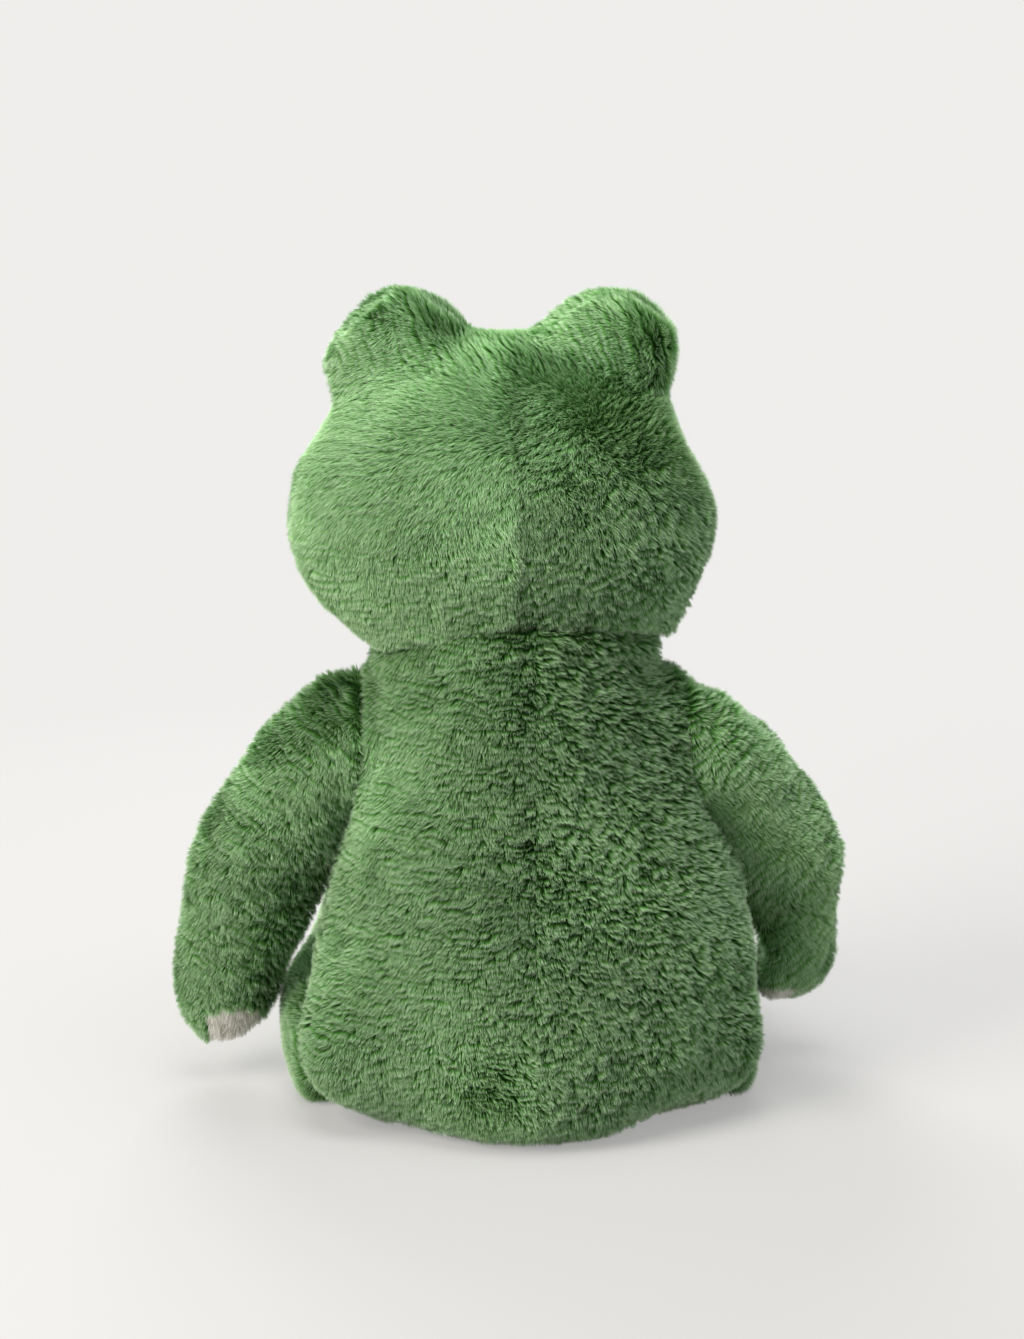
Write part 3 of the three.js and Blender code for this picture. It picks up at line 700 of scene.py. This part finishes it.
eye_plastic, tree = new_material("polished_black_acrylic")
spot = add_node(tree, "ShaderNodeTexCoord").outputs["Object"]
wear = add_node(tree, "ShaderNodeTexNoise", {"Scale": 900.0, "Detail": 3.0}, {"Vector": spot})
rough = add_node(tree, "ShaderNodeMapRange", {"To Min": 0.05, "To Max": 0.13}, {0: wear.outputs[0]})
deep = add_node(tree, "ShaderNodeTexNoise", {"Scale": 60.0}, {"Vector": spot})
tint = add_node(tree, "ShaderNodeValToRGB", links={0: deep.outputs[0]})
tint.color_ramp.elements[0].color = linear("#060607")
tint.color_ramp.elements[1].color = linear("#0e0e10")
shader = add_node(
    tree,
    "ShaderNodeBsdfPrincipled",
    {"IOR": 1.49, "Specular IOR Level": 0.3},
    {"Base Color": tint.outputs[0], "Roughness": rough.outputs[0]},
)
finish_material(tree, shader.outputs[0])

washer_plastic, tree = new_material("moulded_white_polyethylene")
spot = add_node(tree, "ShaderNodeTexCoord").outputs["Object"]
grain = add_node(tree, "ShaderNodeTexNoise", {"Scale": 1200.0, "Detail": 4.0}, {"Vector": spot})
tint = add_node(tree, "ShaderNodeValToRGB", links={0: grain.outputs[0]})
tint.color_ramp.elements[0].color = linear("#dcdcd6")
tint.color_ramp.elements[1].color = linear("#efefea")
height = {"Height": grain.outputs[0]}
relief = add_node(tree, "ShaderNodeBump", {"Strength": 0.2, "Distance": 0.0001}, height)
milky = {"Subsurface Weight": 0.1, "Subsurface Radius": (0.003, 0.003, 0.003)}
shader = add_node(
    tree,
    "ShaderNodeBsdfPrincipled",
    {"IOR": 1.51, "Roughness": 0.45, **milky},
    {"Base Color": tint.outputs[0], "Normal": relief.outputs[0]},
)
finish_material(tree, shader.outputs[0])

head_middle = Vector((0.0175, -0.004, 0.307))
for side, sign in (("left", 1), ("right", -1)):
    look_way = Vector((sign * math.sin(math.radians(15)), -math.cos(math.radians(15)), 0))
    eye_base = head_middle + Vector((sign * 0.053, 0, 0.098)) + 0.0361 * look_way
    outline = [(0, -0.0175), (0.0018, -0.0175), (0.0024, -0.0165)]
    outline += [(0.0024, -0.003), (0.0115, -0.003)]
    for step in range(15):
        turn = math.radians(-30 + 120 * step / 14)
        rise = 0.0095 if turn > 0 else 0.004
        outline.append((0.0132 * math.cos(turn) if step < 14 else 0, rise * math.sin(turn)))
    eye = spun(outline)
    stand = look_way.to_track_quat("Z", "Y").to_matrix().to_4x4()
    stand.translation = eye_base
    bmesh.ops.transform(eye, matrix=stand, verts=eye.verts)
    finished(f"safety_eye_{side}", eye, eye_plastic, "head", "eye_black", f"eye_{side}")
    ring = [(0.0028, -0.0138), (0.0028, -0.0106), (0.0042, -0.0106), (0.0052, -0.0112)]
    ring += [(0.0098, -0.0112), (0.0109, -0.0118), (0.0109, -0.0126), (0.0103, -0.0132)]
    ring += [(0.0052, -0.0132), (0.0046, -0.0138), (0.0028, -0.0138)]
    washer = spun(ring)
    bmesh.ops.transform(washer, matrix=stand, verts=washer.verts)
    finished(f"washer_{side}", washer, washer_plastic, "head", "washer_white", f"eye_washer_{side}")
    pressed.append((eye_base, 0.0138))


# Mouth and nostrils. The mouth is a row of back stitches in thick dark thread along the face's
# seam, pulled a little into the pile, and each nostril is a short worked bar of the same thread.
thread, tree = new_material("twisted_polyester_thread")
spot = add_node(tree, "ShaderNodeTexCoord").outputs["Object"]
ply = add_node(
    tree,
    "ShaderNodeTexWave",
    {"bands_direction": "DIAGONAL", "Scale": 620.0, "Distortion": 1.5, "Detail": 1.0},
    {"Vector": spot},
)
tint = add_node(tree, "ShaderNodeValToRGB", links={0: ply.outputs[0]})
tint.color_ramp.elements[0].color = linear("#1a1613")
tint.color_ramp.elements[1].color = linear("#3a332d")
height = {"Height": ply.outputs[0]}
relief = add_node(tree, "ShaderNodeBump", {"Strength": 0.6, "Distance": 0.0004}, height)
shader = add_node(
    tree,
    "ShaderNodeBsdfPrincipled",
    {"Roughness": 0.6, "Sheen Weight": 0.2},
    {"Base Color": tint.outputs[0], "Normal": relief.outputs[0]},
)
finish_material(tree, shader.outputs[0])


def on_face(across, height):
    start = Vector((head_middle.x + across, -0.4, height))
    return form_trees["head"].ray_cast(start, Vector((0, 1, 0)))[0]


def stitched(name, ends, radius, node):
    """Separate stitches, each from one point to the next, as full in the middle as the thread."""
    row = bmesh.new()
    for start, end in ends:
        along = end - start
        turn = along.to_track_quat("X", "Z").to_matrix().to_4x4()
        turn.translation = (start + end) / 2
        size = Matrix.Diagonal((along.length * 0.56, radius, radius, 1))
        bmesh.ops.create_uvsphere(row, u_segments=12, v_segments=10, radius=1, matrix=turn @ size)
    return finished(name, row, thread, "head", "thread_dark", node)


mouth = []
for step in range(13):
    share = 2 * step / 12 - 1
    spot = on_face(share * 0.046, 0.294 + 0.009 * (share**2 - 0.5))
    mouth.append(spot + Vector((0, -0.0022, 0)))
    pressed.append((spot, 0.0016))
stitched("mouth_thread", list(zip(mouth, mouth[1:])), 0.0017, "mouth_stitch")
for side, sign in (("left", 1), ("right", -1)):
    bars = []
    for row in range(4):
        spot = on_face(sign * 0.015, 0.334 + 0.0011 * (row - 1.5)) + Vector((0, -0.0026, 0))
        reach = Vector((0.0046 - 0.0007 * abs(row - 1.5), 0, 0))
        bars.append((spot - reach, spot + reach))
    stitched(f"nostril_thread_{side}", bars, 0.0009, f"nostril_{side}")
    pressed.append((on_face(sign * 0.015, 0.334), 0.003))


# Head. Two green back panels and a green upper face are brushed across the crown and straight
# down below it, and the lower face below the mouth is cream. Each eye bump is a back and a front
# panel on the crown.
def place_plush(name, part, body, others, nap, look, material, slot, seed):
    piece = plush_piece(name, part, others, nap, look, material, seed)
    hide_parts(name)
    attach(piece, body)


green = (green_look, green_plush, "plush_green")
cream = (cream_look, cream_plush, "plush_cream")


def nap_to(*way):
    """A nap that is brushed one way all over a panel."""
    return lambda roots: np.tile(np.array(way, dtype=float), (len(roots), 1))


def head_nap(roots):
    """Brushed across the crown, and straight down below it."""
    crown = np.clip((roots[:, 2] - 0.31) / 0.08, 0, 1)
    return np.stack([crown, 0.1 * crown, 0.65 * crown - 1], axis=1)


for seed, name in enumerate(panels["head"], 11):
    look = (bump_look, *green[1:]) if name.startswith("bump") else green
    look = cream if name == "face_lower" else look
    place_plush(name, "head", "head", ["torso"], head_nap, *look, seed)


# Body. Two green back panels meet in the middle of the back, a cream belly panel closes the
# front and a small oval seat closes the base. The pile is brushed down, and it turns in a soft
# whorl where the filling hole was sewn shut.
near_body = ["head", "arm_left", "arm_right", "leg_left", "leg_right"]
for seed, name in enumerate(panels["torso"], 1):
    look = cream if name == "belly_panel" else green
    place_plush(name, "torso", "torso", near_body, nap_to(0, 0, -1), *look, seed)


# Arms and legs. Each limb is one green sleeve with its pile brushed towards the end, closed by
# a cream pad of shorter pile.
for number, (side, sign) in enumerate((("left", 1), ("right", -1))):
    arm, leg = f"arm_{side}", f"leg_{side}"
    arm_nap, leg_nap = nap_to(0.7 * sign, 0, -1), nap_to(0.2 * sign, -0.8, -0.8)
    place_plush(arm, arm, arm, ["torso", leg], arm_nap, limb_look, *green[1:], 31 + number)
    place_plush(f"paw_pad_{side}", arm, arm, [leg], arm_nap, *cream, 33 + number)
    place_plush(leg, leg, leg, ["torso", arm], leg_nap, limb_look, *green[1:], 35 + number)
    place_plush(f"foot_sole_{side}", leg, leg, [], leg_nap, *cream, 37 + number)


# Filling. Loose white polyester fibre is packed tight inside every part, a little clear of the
# backing, so its surface is soft lumps with fine tangled fibres on them.
wadding, tree = new_material("polyester_fibre_filling")
spot = add_node(tree, "ShaderNodeTexCoord").outputs["Object"]
fine = {"Scale": 700.0, "Detail": 6.0, "Distortion": 2.0}
tangle = add_node(tree, "ShaderNodeTexNoise", fine, {"Vector": spot})
tufts = add_node(tree, "ShaderNodeTexNoise", {"Scale": 110.0, "Detail": 2.0}, {"Vector": spot})
tint = add_node(tree, "ShaderNodeValToRGB", links={0: tufts.outputs[0]})
tint.color_ramp.elements[0].color = linear("#dcdcd8")
tint.color_ramp.elements[1].color = linear("#f6f6f3")
height = {"Height": tangle.outputs[0]}
relief = add_node(tree, "ShaderNodeBump", {"Strength": 0.8, "Distance": 0.0008}, height)
shader = add_node(
    tree,
    "ShaderNodeBsdfPrincipled",
    {"Roughness": 0.9, "Sheen Weight": 0.3, "Specular IOR Level": 0.2},
    {"Base Color": tint.outputs[0], "Normal": relief.outputs[0]},
)
finish_material(tree, shader.outputs[0])
for part, names in fillings.items():
    for name in names:
        body = "neck" if name == "neck_stuffing" else part
        lump = stuffed_form([name], 0.0045, 4)
        drawn_in(lump, 0.0055, 0.0012, 0.014, len(name))
        pushed(lump, part, 0.0045)
        filled = name.replace("stuffing", "filling")
        piece = finished(filled, lump, wadding, body, "fibre_filling", name)


# Bead pouch. A flat bag of plastic beads, sewn from unbleached calico, weights the seat. Its
# plain weave has about 24 threads to the centimetre, drawn half as fine so that it shows.
calico, tree = new_material("unbleached_calico")
spot = add_node(tree, "ShaderNodeTexCoord").outputs["Object"]
weave = []
for direction in ("X", "Y"):
    band = {"bands_direction": direction, "Scale": 190.0, "Distortion": 0.6, "Detail": 1.0}
    weave.append(add_node(tree, "ShaderNodeTexWave", band, {"Vector": spot}).outputs[0])
cross = add_node(tree, "ShaderNodeMath", {"operation": "MULTIPLY"}, {0: weave[0], 1: weave[1]})
slub = add_node(tree, "ShaderNodeTexNoise", {"Scale": 90.0, "Detail": 3.0}, {"Vector": spot})
tint = add_node(tree, "ShaderNodeValToRGB", links={0: slub.outputs[0]})
tint.color_ramp.elements[0].color = linear("#c2b89f")
tint.color_ramp.elements[1].color = linear("#dcd4bf")
height = {"Height": cross.outputs[0]}
relief = add_node(tree, "ShaderNodeBump", {"Strength": 0.5, "Distance": 0.0003}, height)
shader = add_node(
    tree,
    "ShaderNodeBsdfPrincipled",
    {"Roughness": 0.85, "Specular IOR Level": 0.2},
    {"Base Color": tint.outputs[0], "Normal": relief.outputs[0]},
)
finish_material(tree, shader.outputs[0])
bag = stuffed_form(["bead_pouch"], 0.003, 5)
drawn_in(bag, 0.0012, 0.0007, 0.006, 5)
finished("bead_bag", bag, calico, "torso", "calico", "bead_pouch")
